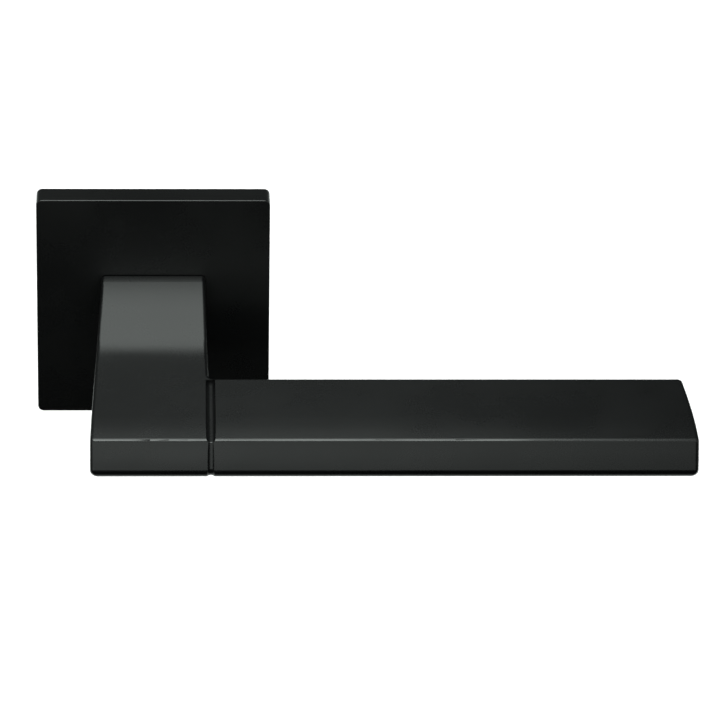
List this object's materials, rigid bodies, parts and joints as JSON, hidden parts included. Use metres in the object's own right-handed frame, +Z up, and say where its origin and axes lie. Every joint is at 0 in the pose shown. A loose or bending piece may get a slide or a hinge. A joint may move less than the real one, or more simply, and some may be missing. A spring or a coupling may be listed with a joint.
{
  "type": "door lever handle",
  "caption": "Black door lever on a square rose: a flat-topped grip turned down at an angle from its neck, sprung back to level, with the spindle and through fixings for one side of a door.",
  "frame": {"origin": "where the spindle's axis meets the door's face", "axes": "+X along the lever, +Y into the door along the spindle, +Z up"},
  "size_m": [0.1531, 0.1084, 0.055],
  "materials": {
    "black_coat": "satin black coating",
    "cast_zinc": "as-cast zinc alloy",
    "zinc_steel": "zinc-plated steel",
    "bright_steel": "ground bright steel",
    "black_steel": "black oxide",
    "spring_steel": "oil-tempered spring steel",
    "nylon": "natural nylon"
  },
  "bodies": {
    "rose": {"rose_cover": "black_coat", "base_plate": "cast_zinc", "cover_clips": "spring_steel", "bearing_bush": "nylon", "friction_washer": "nylon", "return_spring": "spring_steel", "stop_pins": "bright_steel", "anchor_pin": "bright_steel", "through_bolts": "zinc_steel", "wood_screws": "zinc_steel"},
    "lever": {"lever_handle": "black_coat", "spindle": "zinc_steel", "grub_screw": "black_steel", "spring_driver": "zinc_steel", "driver_pin": "bright_steel", "thrust_washer": "bright_steel", "retaining_ring": "black_steel"}
  },
  "joints": [
    {"name": "lever_turn", "type": "hinge", "parent": "rose", "child": "lever", "pos_m": [0, 0, 0], "axis": [0, 1, 0], "range_deg": [0, 45], "stiffness_Nm_per_rad": 0.15, "springref_deg": -89.95, "deforming": ["return_spring"]}
  ]
}
